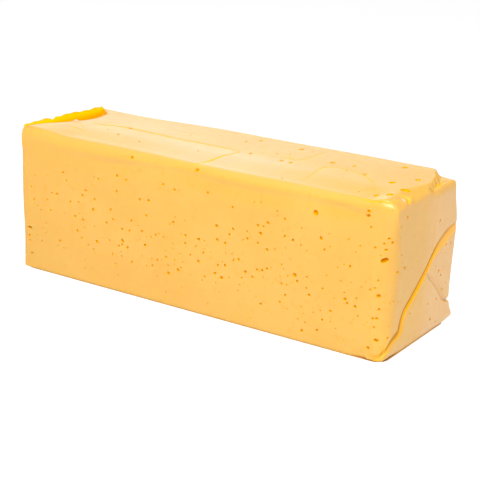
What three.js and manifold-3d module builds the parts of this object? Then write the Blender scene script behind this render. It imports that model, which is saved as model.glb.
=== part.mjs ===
// American cheese loaf: one long block of processed cheese out of its film, with the film's
// folds pressed into it. X runs along the loaf, the folded end is +X, the front is -Y, Z is up.
import * as THREE from 'three';
import { mergeVertices } from 'three/addons/utils/BufferGeometryUtils.js';
import Module from 'manifold-3d';

const wasm = await Module();
wasm.setup();

const { smoothstep, lerp, clamp, degToRad } = THREE.MathUtils;

// Driving sizes in millimetres: the length is that of the top, as both ends lean out to it
const LENGTH = 270;
const WIDTH = 85;
const HEIGHT = 94.8;
const END_LEAN = 1.9;
const HALF_LENGTH = LENGTH / 2;
const HALF_WIDTH = WIDTH / 2;

// Edge radii: the film pulls the long front edge round and pinches the foot sharp
const FOOT_RADIUS = 0.8;
const NEAR_FRONT_RADIUS = 13;
const NEAR_BACK_RADIUS = 1.6;
const FAR_RADIUS = 1.2;
const TOP_FRONT_RADIUS = 7.5;
const TOP_FRONT_REACH = 4.8; // that radius along Y
const TOP_BACK_RADIUS = 3;
const TOP_NEAR_RADIUS = 6;

// Heights between which the foot's radii grow into the sides' and those into the top's, and the
// stretch of the length over which the near end's own radii set in
const FOOT_BLEND = { from: FOOT_RADIUS, to: 26 };
const FOOT_CORNER = { radius: 5, from: -34, to: -20 }; // that of the near front corner in plan
const TOP_BLEND = { from: 56, to: 85 };
const NEAR_BLEND = { from: 113, to: 127 };

// Slow unevenness of the pressed faces: the height of each wave and its turns per millimetre
const WAVE_HEIGHT = 0.17;
const WAVES = [
  { turns: [0.053, 0, 0.032], phase: 1.1 },
  { turns: [-0.023, 0.077, 0], phase: 2.3 },
  { turns: [0.018, 0, 0.09], phase: 0 },
];
const FACE_BULGE = 0.8;
const FLAT_FOOT = { from: 0.5, to: 14 };

// Band below the top that follows the top's relief
const TOP_BAND = { from: 72, to: 91 };

// The top dips towards the back near the far end, and sinks towards its long front edge
const DIP = { at: -100, spread: 60, depth: 1.8, from: -8, to: 36 };
const SINK = { depth: 2.2, from: -38.5, to: -15, along: [-128, -96, 116, 128] };

// The front is a little hollow under that edge, and the far end swells out a little
const WAIST = { depth: 0.9, edge: [-1, 2], fade: [2, 13], reach: 8, along: [-120, -50, 98, 118] };
const EDGE_BAND = { foot: 86.8, higher: 3.4, from: -80, to: -10, sagAt: 40, sagSpread: 28, sag: 1.4 };
const FAR_SWELL = { reach: 0.7, depth: 12, from: 4, full: 60 };

// Thin lip that stands along the far end of the top, torn through at the gap
const LIP = {
  height: 1.3,
  thickness: 1.5,
  crest: 0.9,
  root: 10,
  full: HEIGHT - 2,
  from: -41,
  to: 42,
  fade: 1.5,
  gapAt: -12,
  gapWidth: 1.5,
  gapDepth: 2.2,
  tatter: 0.24,
  tatterTurns: [0.23, 0.61],
};

// Trench between that lip and the sharp edge of the top, which widens away from the front
const TRENCH = {
  depth: 3,
  least: 1,
  more: 15.3,
  widening: [-38, 4],
  closing: [10, 32],
  closed: 0.3,
  lastClosing: [27, 41],
  backRim: [38.5, 42],
  edge: 0.9,
  full: [0.6, 7],
  slope: [-0.1, 0.75],
};

// Back corner of the near end: pinched in and pressed down beyond a small step, and flared below
const PINCH = { depth: 3.6, from: 117, foot: 64, full: HEIGHT - 4 };
const STEP_ZONE = { from: HEIGHT - 12, full: HEIGHT - 3 };
const STEP = { depth: 3.6, width: 1.4, backWidth: 4.6, widening: [12, 40] };
const STEP_LINE = { startX: 117, startY: 42, endX: 131.5, endY: 5, bow: 2.7 };
const FLARE = { reach: 1.8, from: 8, full: 18, fading: 62, to: 84 };

// Corner flap that sticks out at the foot of that corner
const FLAP = { reach: 9.5, height: 14.5, root: 34, thickness: 7, full: 2, lift: 1.2, curve: 1.2 };

// Grooves as stations across a face: place on the face, width to each side, depth
const NEAR_FOLD = [
  [42, 62.6, 2.2, 4, 0.6],
  [36, 61, 2.6, 5.4, 1.2],
  [24, 55.6, 3, 5.2, 1.7],
  [12.2, 47.4, 2.8, 2.1, 1.5],
  [-3, 34.6, 2.6, 1.5, 1.4],
  [-17.4, 24.4, 3.2, 1.3, 1.3],
  [-22, 14.5, 4.2, 1.2, 1.2],
  [-31.6, 9.6, 3.4, 1.1, 1.1],
  [-39.5, 4.6, 2, 1, 0.8],
];
const SIDE_CREASE = [
  [6.4, 41.4, 0.5, 0.8, 0.4],
  [12, 35.7, 0.6, 2.4, 0.9],
  [22.3, 27.6, 0.6, 3.4, 1.2],
  [33, 17.6, 0.6, 4, 1.4],
  [43, 13.4, 0.6, 3.2, 1.3],
];
const UPRIGHT_CREASE = [
  [12.3, 88, 0.6, 0.7, 0.5],
  [11.6, 74, 0.7, 0.9, 0.6],
  [12, 62, 0.7, 0.9, 0.6],
  [10, 51.5, 0.5, 0.5, 0.4],
];
const TOP_SEAM = [
  [-104, -3, 0.5, 0.5, 0.4],
  [-84, 1, 0.9, 0.9, 0.6],
  [-40, -4, 0.9, 0.9, 0.6],
  [9, -4.5, 0.6, 0.6, 0.5],
];
const CROSS_CREASE = [
  [9, -6, 0.6, 0.6, 0.5],
  [4, -27, 0.9, 0.9, 0.7],
  [1, -38, 0.5, 0.5, 0.4],
];
const FRONT_FOLD = [
  [110, 91.5, 0.5, 0.5, 0.5],
  [118, 91.8, 0.8, 1.1, 1.1],
  [127, 92, 0.8, 0.9, 0.9],
  [131, 92.4, 0.5, 0.5, 0.4],
];

// Gas bubbles cut open by the faces: place on the face, width, length ratio
const LARGE_PITS = {
  front: [
    [130.6, 59.6, 4.8, 0.7], [85.6, 80.4, 3.6, 1], [90.4, 65.5, 2.4, 1], [74.6, 39.8, 3, 1],
    [-51.2, 34.6, 3, 0.6], [-72, 29.8, 2.8, 0.8], [-129.1, 27.9, 4.4, 0.45], [118.1, 85.7, 2.8, 0.7],
    [24.2, 26.9, 2.6, 1], [-7.9, 24.9, 2.4, 1], [129, 12.3, 3, 0.6], [99.6, 23.6, 2.2, 1],
  ],
  top: [
    [104.4, 29, 3, 0.8], [122.4, 9.6, 3, 0.9], [113.3, -5.6, 3.2, 0.7], [34.5, 26.6, 2.8, 0.8],
    [123, -27.8, 3.4, 0.7], [66.2, 9.3, 2.6, 0.8],
  ],
  near: [
    [-27, 82.7, 2.6, 1], [17.7, 70.2, 3, 0.6], [-24.3, 52.3, 2.4, 1], [28.8, 33.4, 2, 1],
  ],
};
const SMALL_PITS = {
  front: { count: 34, reach: 127, low: 6, high: 78 },
  back: { count: 22, reach: 127, low: 6, high: 78 },
  top: { count: 10, reach: 121, low: -32, high: 32 },
  near: { count: 6, reach: 30, low: 6, high: 78 },
};
const SMALL_PIT_WIDTH = { least: 1.3, most: 2.2 };
const PIT_DEPTH_RATIO = 0.42;
const PIT_SPACING = 4;
const FINE_PIT_FROM = 3.5;
const PIT_TURN = degToRad(20);
const PIT_SEED = 27;

// Hollow under the rolled film at the near front corner, and the roll round it
const CURL = { x: 129.8, y: -23.8, long: 4.8, wide: 1.4, deep: 2, turn: -36 };
const CURL_ROLL = { x: 130, y: -27.4, height: 1.1, radius: 3.4, spread: 1.6 };

// Lines of the net on each axis, closer together where the folds are: from, to, steps
const TRENCH_START = LIP.thickness - HALF_LENGTH;
const TRENCH_EDGE = TRENCH_START + TRENCH.least + TRENCH.more;
const EASED_AT = -105; // past it the lines along the trench's edge are straight again
const X_SPANS = [
  [-HALF_LENGTH, LIP.crest - HALF_LENGTH, 1],
  [LIP.crest - HALF_LENGTH, TRENCH_START, 1],
  [TRENCH_START, TRENCH_EDGE, 4],
  [TRENCH_EDGE, TRENCH_EDGE + TRENCH.edge, 1],
  [TRENCH_EDGE + TRENCH.edge, EASED_AT, 2],
  [EASED_AT, 95, 10],
  [95, 117, 4],
  [117, HALF_LENGTH, 9],
];
const Y_SPANS = [[-HALF_WIDTH, -37.5, 3], [-37.5, 30, 12], [30, 38.5, 3], [38.5, HALF_WIDTH, 3]];
const Z_SPANS = [[0, FOOT_RADIUS, 1], [FOOT_RADIUS, 14.5, 4], [14.5, 78, 8], [78, HEIGHT, 8]];
const CHEESE = { color: 0xfcc566, roughness: 0.45, metalness: 0 };

function stations(spans) {
  const values = [spans[0][0]];
  for (const [from, to, steps] of spans) {
    for (let step = 1; step <= steps; step += 1) values.push(lerp(from, to, step / steps));
  }
  return values;
}

function hill(value, at, spread) {
  return Math.exp(-(((value - at) / spread) ** 2));
}

function rise(value, from, to) {
  return smoothstep(value, from, to);
}

function fall(value, from, to) {
  return 1 - smoothstep(value, from, to);
}

function seededRandom(seed) {
  let state = seed;
  return () => {
    state = (state + 0x6d2b79f5) | 0;
    let mixed = Math.imul(state ^ (state >>> 15), 1 | state);
    mixed = (mixed + Math.imul(mixed ^ (mixed >>> 7), 61 | mixed)) ^ mixed;
    return ((mixed ^ (mixed >>> 14)) >>> 0) / 4294967296;
  };
}

// Radii of the rounded block along each axis, at a point of the sharp block
function edgeRadii(x, y, z) {
  const near = rise(x, -HALF_LENGTH / 2, HALF_LENGTH / 2);
  const front = fall(y, -HALF_WIDTH / 2, HALF_WIDTH / 2);
  const aboveFoot = rise(z, FOOT_BLEND.from, FOOT_BLEND.to);
  const upper = rise(z, TOP_BLEND.from, TOP_BLEND.to);
  const nearEnd = rise(x, NEAR_BLEND.from, NEAR_BLEND.to);
  const side = lerp(FAR_RADIUS, lerp(NEAR_BACK_RADIUS, NEAR_FRONT_RADIUS, front), near);
  const topSide = lerp(TOP_BACK_RADIUS, TOP_FRONT_RADIUS, front);
  const topReach = lerp(TOP_BACK_RADIUS, TOP_FRONT_REACH, front);
  const inCorner = nearEnd * fall(y, FOOT_CORNER.from, FOOT_CORNER.to);
  const footSide = lerp(FOOT_RADIUS, FOOT_CORNER.radius, inCorner);
  return {
    x: lerp(footSide, side, aboveFoot),
    y: lerp(footSide, lerp(lerp(side, topReach, 1 - nearEnd), topReach, upper), aboveFoot),
    z: lerp(FOOT_RADIUS, lerp(topSide, TOP_NEAR_RADIUS, nearEnd * (1 - front)), upper),
  };
}

function roundedPoint(x, y, z) {
  const radii = edgeRadii(x, y, z);
  const middle = z - HEIGHT / 2;
  const inner = new THREE.Vector3(
    clamp(x, -HALF_LENGTH + radii.x, HALF_LENGTH - radii.x),
    clamp(y, -HALF_WIDTH + radii.y, HALF_WIDTH - radii.y),
    clamp(middle, -HEIGHT / 2 + radii.z, HEIGHT / 2 - radii.z),
  );
  const outward = new THREE.Vector3(
    (x - inner.x) / radii.x,
    (y - inner.y) / radii.y,
    (middle - inner.z) / radii.z,
  ).normalize();
  const point = new THREE.Vector3(outward.x * radii.x, outward.y * radii.y, outward.z * radii.z);
  point.add(inner);
  point.z += HEIGHT / 2;
  return { point, outward };
}

// 1 along a stretch of the length, eased in from its start and out to its end
function stretch(x, [start, full, until, gone]) {
  return rise(x, start, full) * fall(x, until, gone);
}

function trenchWidth(y) {
  const closing = (1 - TRENCH.closed * rise(y, ...TRENCH.closing)) * fall(y, ...TRENCH.lastClosing);
  return TRENCH.least + TRENCH.more * rise(y, ...TRENCH.widening) * closing;
}

// The trench slopes down from the lip and rises sharply again at the edge of the top
function trenchDepth(x, y) {
  const width = trenchWidth(y);
  const part = (x - TRENCH_START) / width;
  const depth = TRENCH.depth * rise(width, ...TRENCH.full) * fall(y, ...TRENCH.backRim);
  return depth * rise(part, ...TRENCH.slope) * fall(part, 1, 1 + TRENCH.edge / width);
}

// The net's lines at the trench follow its slanting edge, and ease back to straight beyond it
function bentX(x, y) {
  const before = clamp((x - TRENCH_START) / (TRENCH_EDGE - TRENCH_START), 0, 1);
  const beyond = clamp((EASED_AT - x) / (EASED_AT - TRENCH_EDGE - TRENCH.edge), 0, 1);
  return x + before * beyond * (trenchWidth(y) - TRENCH.least - TRENCH.more);
}

// Height of the lower border of the fuller band along the long front edge
function bandFoot(x) {
  const { foot, higher, from, to, sagAt, sagSpread, sag } = EDGE_BAND;
  return foot + higher * rise(x, from, to) - sag * hill(x, sagAt, sagSpread);
}

// Height that the top loses or gains at a place, before the step of the near back corner
function topRelief(x, y) {
  const dip = DIP.depth * hill(x, DIP.at, DIP.spread) * rise(y, DIP.from, DIP.to);
  const sink = SINK.depth * fall(y, SINK.from, SINK.to) * stretch(x, SINK.along);
  const fromRoll = Math.hypot(x - CURL_ROLL.x, y - CURL_ROLL.y);
  const roll = CURL_ROLL.height * hill(fromRoll, CURL_ROLL.radius, CURL_ROLL.spread);
  return roll - dip - sink - trenchDepth(x, y);
}

function lipHeight(y) {
  const present = rise(y, LIP.from, LIP.from + LIP.fade) * fall(y, LIP.to - LIP.fade, LIP.to);
  const tatters = LIP.tatterTurns.reduce((sum, turns, i) => sum + LIP.tatter * Math.sin(y * turns + i), 0);
  return present * (LIP.height + tatters) - LIP.gapDepth * hill(y, LIP.gapAt, LIP.gapWidth);
}

// How far a place on the top lies beyond the bowed line of the corner's step
function beyondStep(x, y) {
  const along = (STEP_LINE.startY - y) / (STEP_LINE.startY - STEP_LINE.endY);
  const bow = STEP_LINE.bow * Math.sin(Math.PI * clamp(along, 0, 1));
  return x - (lerp(STEP_LINE.startX, STEP_LINE.endX, along) + bow);
}

function wave(x, y, z) {
  return WAVE_HEIGHT * WAVES.reduce((sum, { turns, phase }) => (
    sum + Math.sin(x * turns[0] + y * turns[1] + z * turns[2] + phase)
  ), 0);
}

// The loaf's surface at a point of the sharp block
function loafPoint(x, y, z) {
  const { point, outward } = roundedPoint(x, y, z);
  const middleX = 1 - (x / HALF_LENGTH) ** 2;
  const middleZ = 1 - (2 * z / HEIGHT - 1) ** 2;
  const swell = wave(x, y, z) + FACE_BULGE * middleX * middleZ;
  point.addScaledVector(outward, swell * rise(z, FLAT_FOOT.from, FLAT_FOOT.to));
  point.z += topRelief(x, y) * rise(z, TOP_BAND.from, TOP_BAND.to);
  const below = bandFoot(x) - z;
  const hollow = WAIST.depth * rise(below, ...WAIST.edge) * fall(below, ...WAIST.fade);
  point.y += hollow * stretch(x, WAIST.along) * fall(y, -HALF_WIDTH, WAIST.reach - HALF_WIDTH);
  const swollen = fall(x, -HALF_LENGTH, FAR_SWELL.depth - HALF_LENGTH);
  point.x -= FAR_SWELL.reach * swollen * rise(z, FAR_SWELL.from, FAR_SWELL.full);

  const stepWidth = lerp(STEP.width, STEP.backWidth, rise(y, ...STEP.widening));
  const step = rise(beyondStep(x, y), 0, stepWidth) * rise(y, 0, 2 * STEP_LINE.endY);
  point.z -= STEP.depth * step * rise(z, STEP_ZONE.from, STEP_ZONE.full);
  const corner = rise(x, PINCH.from, HALF_LENGTH) * rise(y, 0, HALF_WIDTH - NEAR_BACK_RADIUS);
  point.y -= PINCH.depth * corner * rise(z, PINCH.foot, PINCH.full);
  point.y += FLARE.reach * corner * rise(z, FLARE.from, FLARE.full) * fall(z, FLARE.fading, FLARE.to);

  const inLip = fall(x + HALF_LENGTH, LIP.crest, LIP.thickness);
  point.z += inLip * lipHeight(y) * rise(z, HEIGHT - LIP.root, LIP.full);

  const flapEnd = rise(x, HALF_LENGTH - FLAP.thickness, HALF_LENGTH - FLAP.full);
  const flapFoot = clamp(1 - z / FLAP.height, 0, 1) ** FLAP.curve;
  const flap = flapEnd * flapFoot * rise(y, FLAP.root, HALF_WIDTH);
  point.y += FLAP.reach * flap;
  point.z += FLAP.lift * flap;

  const lean = END_LEAN * (1 - z / HEIGHT);
  point.x *= (HALF_LENGTH - lean) / HALF_LENGTH;
  return point;
}

function solid(geometry) {
  const bare = geometry.clone();
  bare.deleteAttribute('normal');
  bare.deleteAttribute('uv');
  const merged = mergeVertices(bare, 1e-4);
  return new wasm.Manifold(new wasm.Mesh({
    numProp: 3,
    vertProperties: Float32Array.from(merged.attributes.position.array),
    triVerts: Uint32Array.from(merged.index.array),
  }));
}

function makeBlock() {
  const xs = stations(X_SPANS);
  const ys = stations(Y_SPANS);
  const zs = stations(Z_SPANS);
  const geometry = new THREE.BoxGeometry(1, 1, 1, xs.length - 1, ys.length - 1, zs.length - 1);
  const position = geometry.attributes.position;
  const line = (values, part) => values[Math.round((part + 0.5) * (values.length - 1))];
  for (let i = 0; i < position.count; i += 1) {
    const y = line(ys, position.getY(i));
    const point = loafPoint(bentX(line(xs, position.getX(i)), y), y, line(zs, position.getZ(i)));
    position.setXYZ(i, point.x, point.y, point.z);
  }
  return solid(geometry);
}

// Each face maps its two coordinates to a point of the sharp block
const FACES = {
  front: (a, b) => [a, -HALF_WIDTH, b],
  back: (a, b) => [-a, HALF_WIDTH, b],
  top: (a, b) => [a, b, HEIGHT],
  near: (a, b) => [HALF_LENGTH, a, b],
};

// Point and outward normal of the surface at a place on a face
function onFace(face, a, b) {
  const place = FACES[face];
  const reach = 0.5;
  const point = loafPoint(...place(a, b));
  const alongA = loafPoint(...place(a + reach, b)).sub(loafPoint(...place(a - reach, b)));
  const alongB = loafPoint(...place(a, b + reach)).sub(loafPoint(...place(a, b - reach)));
  return { point, normal: alongA.cross(alongB).normalize() };
}

// V-shaped cutter that follows stations over a face, its bottom at the depth of each
function grooveCutter(face, path) {
  const lift = 1.5; // how far the cutter stands out of the surface
  const spots = path.map(([a, b]) => onFace(face, a, b));
  const vertices = [];
  spots.forEach(({ point, normal }, i) => {
    const [, , left, right, depth] = path[i];
    const before = spots[Math.max(i - 1, 0)].point;
    const after = spots[Math.min(i + 1, spots.length - 1)].point;
    const along = after.clone().sub(before).normalize();
    const side = new THREE.Vector3().crossVectors(normal, along).normalize();
    const spread = 1 + lift / depth;
    const rim = point.clone().addScaledVector(normal, lift);
    vertices.push(
      rim.clone().addScaledVector(side, left * spread),
      point.clone().addScaledVector(normal, -depth),
      rim.clone().addScaledVector(side, -right * spread),
    );
  });
  const indices = [0, 1, 2];
  for (let i = 0; i < spots.length - 1; i += 1) {
    for (let corner = 0; corner < 3; corner += 1) {
      const here = i * 3 + corner;
      const next = i * 3 + ((corner + 1) % 3);
      indices.push(here, here + 3, next, next, here + 3, next + 3);
    }
  }
  const last = (spots.length - 1) * 3;
  indices.push(last, last + 2, last + 1);
  const geometry = new THREE.BufferGeometry().setFromPoints(vertices);
  geometry.setIndex(indices);
  return solid(geometry);
}

function pitCutter(face, a, b, width, ratio, turn) {
  const { point, normal } = onFace(face, a, b);
  const detail = width > FINE_PIT_FROM ? 1 : 0;
  const geometry = new THREE.IcosahedronGeometry(1, detail);
  geometry.scale(width / 2, ratio * width / 2, width * PIT_DEPTH_RATIO);
  geometry.rotateZ(turn);
  const facing = new THREE.Quaternion().setFromUnitVectors(new THREE.Vector3(0, 0, 1), normal);
  geometry.applyQuaternion(facing);
  geometry.translate(point.x, point.y, point.z);
  return solid(geometry);
}

// Small pits gather at mid-height on the upright faces and lie anywhere on the top
function smallPits(random) {
  const pits = [];
  for (const [face, { count, reach, low, high }] of Object.entries(SMALL_PITS)) {
    for (let i = 0; i < count; i += 1) {
      const a = lerp(-reach, reach, random());
      const b = lerp(low, high, (random() + random()) / 2);
      const width = lerp(SMALL_PIT_WIDTH.least, SMALL_PIT_WIDTH.most, random() ** 2);
      pits.push([face, a, b, width, lerp(0.75, 1, random()), random() * Math.PI]);
    }
  }
  return pits;
}

function allPits() {
  const large = Object.entries(LARGE_PITS).flatMap(([face, pits]) => (
    pits.map(([a, b, width, ratio]) => [face, a, b, width, ratio, PIT_TURN])
  ));
  const taken = [];
  for (const pit of [...large, ...smallPits(seededRandom(PIT_SEED))]) {
    const clear = taken.every(([face, a, b]) => (
      face !== pit[0] || Math.hypot(a - pit[1], b - pit[2]) > PIT_SPACING
    ));
    if (clear) taken.push(pit);
  }
  return taken;
}

function curlCutter() {
  const { point } = onFace('top', CURL.x, CURL.y);
  const geometry = new THREE.IcosahedronGeometry(1, 1);
  geometry.scale(CURL.long, CURL.wide, CURL.deep);
  geometry.rotateZ(degToRad(CURL.turn));
  geometry.translate(point.x, point.y, point.z);
  return solid(geometry);
}

function makeLoaf() {
  const cutters = [
    grooveCutter('near', NEAR_FOLD),
    grooveCutter('near', SIDE_CREASE),
    grooveCutter('near', UPRIGHT_CREASE),
    grooveCutter('top', TOP_SEAM),
    grooveCutter('top', CROSS_CREASE),
    grooveCutter('front', FRONT_FOLD),
    curlCutter(),
    ...allPits().map((pit) => pitCutter(...pit)),
  ];
  const cut = cutters.reduce((joined, cutter) => joined.add(cutter));
  return makeBlock().subtract(cut);
}

function toGeometry(manifold) {
  const mesh = manifold.getMesh();
  const geometry = new THREE.BufferGeometry();
  const points = Float32Array.from(mesh.vertProperties);
  geometry.setAttribute('position', new THREE.BufferAttribute(points, 3));
  geometry.setIndex(new THREE.BufferAttribute(Uint32Array.from(mesh.triVerts), 1));
  geometry.computeVertexNormals();
  return geometry;
}

// Origin at the bottom centre of the loaf's bounding box
function centred(geometry) {
  geometry.computeBoundingBox();
  const middle = geometry.boundingBox.getCenter(new THREE.Vector3());
  return geometry.translate(-middle.x, -middle.y, -geometry.boundingBox.min.z);
}

const loaf = new THREE.Mesh(
  centred(toGeometry(makeLoaf())),
  new THREE.MeshStandardMaterial(CHEESE),
);
loaf.name = 'cheese_loaf';

const group = new THREE.Group();
group.add(loaf);

export default group;
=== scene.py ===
# American cheese loaf, dressed: a finer skin over the CAD solid, with its folds, creases and
# gas pits, a procedural cheese material, and the studio it stands in
import math
import bmesh
import bpy
import numpy as np
from mathutils import Matrix, Vector


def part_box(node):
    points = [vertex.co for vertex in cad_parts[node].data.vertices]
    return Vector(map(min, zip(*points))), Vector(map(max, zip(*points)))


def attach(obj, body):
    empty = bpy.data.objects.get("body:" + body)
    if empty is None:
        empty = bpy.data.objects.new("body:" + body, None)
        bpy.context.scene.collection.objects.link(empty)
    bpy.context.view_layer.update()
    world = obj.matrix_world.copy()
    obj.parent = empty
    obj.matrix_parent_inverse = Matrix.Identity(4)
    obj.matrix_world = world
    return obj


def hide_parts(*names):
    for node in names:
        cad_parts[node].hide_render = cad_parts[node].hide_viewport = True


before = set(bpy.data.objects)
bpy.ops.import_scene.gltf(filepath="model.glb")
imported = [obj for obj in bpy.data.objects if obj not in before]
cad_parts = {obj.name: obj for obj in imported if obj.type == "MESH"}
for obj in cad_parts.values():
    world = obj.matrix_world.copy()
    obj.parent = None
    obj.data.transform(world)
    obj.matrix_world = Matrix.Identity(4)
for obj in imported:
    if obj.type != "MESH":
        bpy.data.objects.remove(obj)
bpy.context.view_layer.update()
mm = 0.001  # sizes below are in millimetres, meshes are in metres

loaf = {
    "length": 270.0,
    "width": 85.0,
    "height": 94.8,
    "endLean": 1.9,
    "footRadius": 0.8,
    "nearFrontRadius": 13.0,
    "nearBackRadius": 1.6,
    "farRadius": 1.2,
    "topFrontRadius": 7.5,
    "topFrontReach": 4.8,  # that radius along Y
    "topBackRadius": 3.0,
    "topNearRadius": 6.0,
    "footBlend": (0.8, 26.0),
    "footCornerRadius": 5.0,  # of the near front corner in plan
    "footCorner": (-34.0, -20.0),
    "topBlend": (56.0, 85.0),
    "nearBlend": (113.0, 127.0),
    "waveHeight": 0.17,
    "waves": [((0.053, 0, 0.032), 1.1), ((-0.023, 0.077, 0), 2.3), ((0.018, 0, 0.09), 0.0)],
    "bulge": 0.8,
    "flatFoot": (0.5, 14.0),
    "topBand": (72.0, 91.0),
    "dip": {"at": -100.0, "spread": 60.0, "depth": 1.8, "start": -8.0, "end": 36.0},
    # The top sinks towards its long front edge, under which the front is a little hollow
    "sink": {
        "depth": 2.2, "start": -38.5, "end": -15.0,
        "from": -128.0, "to": -96.0, "until": 116.0, "gone": 128.0,
    },
    "waist": {
        "depth": 0.9, "edge": (-1.0, 2.0), "fade": (2.0, 13.0), "reach": 8.0,
        "from": -120.0, "to": -50.0, "until": 98.0, "gone": 118.0,
    },
    "farSwell": {"reach": 0.7, "width": 12.0, "foot": 4.0, "full": 60.0},
    # Lower border of the bright band along that edge: its height, its climb and its sag
    "edgeBand": {
        "foot": 86.8, "climb": 3.4, "climbing": (-80.0, -10.0),
        "sag": 1.4, "sagAt": (40.0, 28.0),
    },
}
halfLength = loaf["length"] / 2
halfWidth = loaf["width"] / 2
height = loaf["height"]

farLip = {
    "height": 1.3,
    "thickness": 1.5,
    "crestShare": 0.6,  # of the thickness
    "root": 10.0,
    "full": 2.0,
    "start": -41.0,
    "end": 42.0,
    "fade": 1.5,
    "gapAt": -12.0,
    "gapWidth": 1.5,
    "gapDepth": 2.2,
    "tatter": 0.24,
    "tatterTurns": (0.23, 0.61),
    # Trench between the lip and the sharp edge of the top
    "trenchLeast": 1.0,
    "trenchWidth": 15.3,
    "trenchDepth": 3.0,
    "fullDepthFrom": (0.6, 7.0),
    "slope": (-0.1, 0.75),
    "widening": (-38.0, 4.0),
    "closing": (10.0, 32.0),
    "closed": 0.3,
    "lastClosing": (27.0, 41.0),
    "backRim": (38.5, 42.0),
    "edgeWidth": 0.9,
}

nearCorner = {
    "pinch": 3.6,
    "pinchStart": 117.0,
    "pinchRise": (64.0, height - 4),
    "stepDepth": 3.6,
    "stepWidth": 1.4,
    "stepBackWidth": 4.6,
    "stepWidening": (12.0, 40.0),
    "stepRise": (height - 12, height - 3),
    "stepStart": (117.0, 42.0),
    "stepEnd": (131.5, 5.0),
    "stepBow": 2.7,
    "ragged": [(0.45, 0.55, 0.0), (0.3, 1.27, 1.0)],  # waves of its edge: height, turns, phase
    "flare": 1.8,
    "flareRise": (8.0, 18.0),
    "flareFall": (62.0, 84.0),
    "flapReach": 9.5,
    "flapHeight": 14.5,
    "flapRoot": 34.0,
    "flapThickness": 7.0,
    "flapFull": 2.0,
    "flapLift": 1.2,
    "flapCurve": 1.2,
}

# Stations of each groove over its face: place on the face, width to each side, depth
nearGrooves = {
    "fold": [
        (46, 64.2, 2, 3, 0.2), (43, 63, 2.2, 4, 0.5), (38, 61.6, 2.6, 5.5, 1.1), (31, 59, 4.4, 6, 1.5),
        (24, 55.6, 5, 5.2, 1.6), (17.6, 51.6, 4.8, 3.2, 1.5), (12.2, 47.4, 4, 2.1, 1.4),
        (7.4, 43, 3.6, 1.7, 1.3), (-3, 34.6, 3.6, 1.5, 1.25), (-10.6, 28.9, 3.8, 1.4, 1.2),
        (-17.4, 24.4, 3.6, 1.3, 1.15), (-20.6, 19, 4.2, 1.2, 1.1), (-21.6, 13.5, 4.8, 1.2, 1.1),
        (-24.8, 11.2, 4.6, 1.2, 1.05), (-31.6, 9.6, 3.8, 1.1, 1), (-36, 7.2, 2.8, 1, 0.95),
        (-40.5, 4, 2, 0.9, 0.8), (-43, 1.5, 1.4, 0.7, 0.4),
    ],
    "side": [
        (6, 41.6, 0.4, 0.8, 0.3), (11.7, 36, 0.5, 2.4, 0.9), (22.3, 27.6, 0.5, 3.4, 1.2),
        (33, 17.6, 0.5, 4, 1.4), (39, 14.2, 0.5, 3.6, 1.4), (45, 13.2, 0.5, 3, 1.3),
    ],
    "upright": [
        (12.3, 89, 0.9, 1, 0.25), (11.6, 80, 1.1, 1.2, 0.42), (11.7, 70, 1.1, 1.2, 0.4),
        (12.1, 62, 1.1, 1.2, 0.45), (10.6, 53, 0.9, 1, 0.35), (9.6, 49, 0.6, 0.6, 0.2),
    ],
}
topGrooves = {
    "seam": [
        (-106, -4, 1, 1.2, 0.2), (-95, -1.5, 1.3, 1.6, 0.35), (-84, 0.8, 1.4, 1.8, 0.4),
        (-60, -1.6, 1.3, 1.6, 0.36), (-36, -4, 1.2, 1.4, 0.32), (-12, -3.2, 1.1, 1.3, 0.28),
        (9, -4.5, 0.8, 0.8, 0.2),
    ],
    "cross": [
        (10, -7, 1, 1, 0.24), (6, -22, 1.3, 1.4, 0.38), (3.5, -32, 1.3, 1.4, 0.38),
        (-1, -40, 0.6, 0.6, 0.2),
    ],
    "curl": [
        (125.5, -25.4, 0.6, 0.8, 0.4), (127.5, -24.9, 1, 1.2, 1.5), (129.4, -23, 1.2, 1.4, 2.2),
        (131.2, -22, 1.2, 1.2, 2.2), (132.4, -23.2, 1, 1, 1.8), (133, -25, 0.6, 0.7, 0.7),
    ],
    "ledge": [
        (98, -39.6, 0.4, 0.4, 0.15), (106, -39, 0.45, 0.5, 0.6), (113.5, -39.2, 0.5, 0.6, 1.1),
        (122.8, -40, 0.5, 0.6, 1.3), (128, -39.6, 0.5, 0.6, 1.2), (130.3, -37, 0.5, 0.6, 0.9),
        (129.5, -35, 0.4, 0.4, 0.3),
    ],
    "pocket": [
        (129.8, 12.5, 0.7, 0.8, 0.4), (130.8, 18, 1.5, 1.6, 1.8), (130.6, 23, 1, 1.1, 1.1),
        (130.4, 29, 0.5, 0.6, 0.6), (131.6, 35, 0.4, 0.4, 0.3),
    ],
}
# Rolled film round the curl's hollow, as a groove's stations with the depth turned into height
curlRoll = [
    (130, -17, 1.2, 1.4, 0.3), (132.4, -19, 1.2, 1.4, 1), (133.8, -22, 1.1, 1.3, 1.5),
    (134.3, -26, 1.1, 1.3, 1.8), (133.6, -30, 1.3, 1.4, 1.4), (131, -33.6, 1.5, 1.6, 0.7),
    (126, -37, 1.6, 1.6, 0.3),
]
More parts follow.
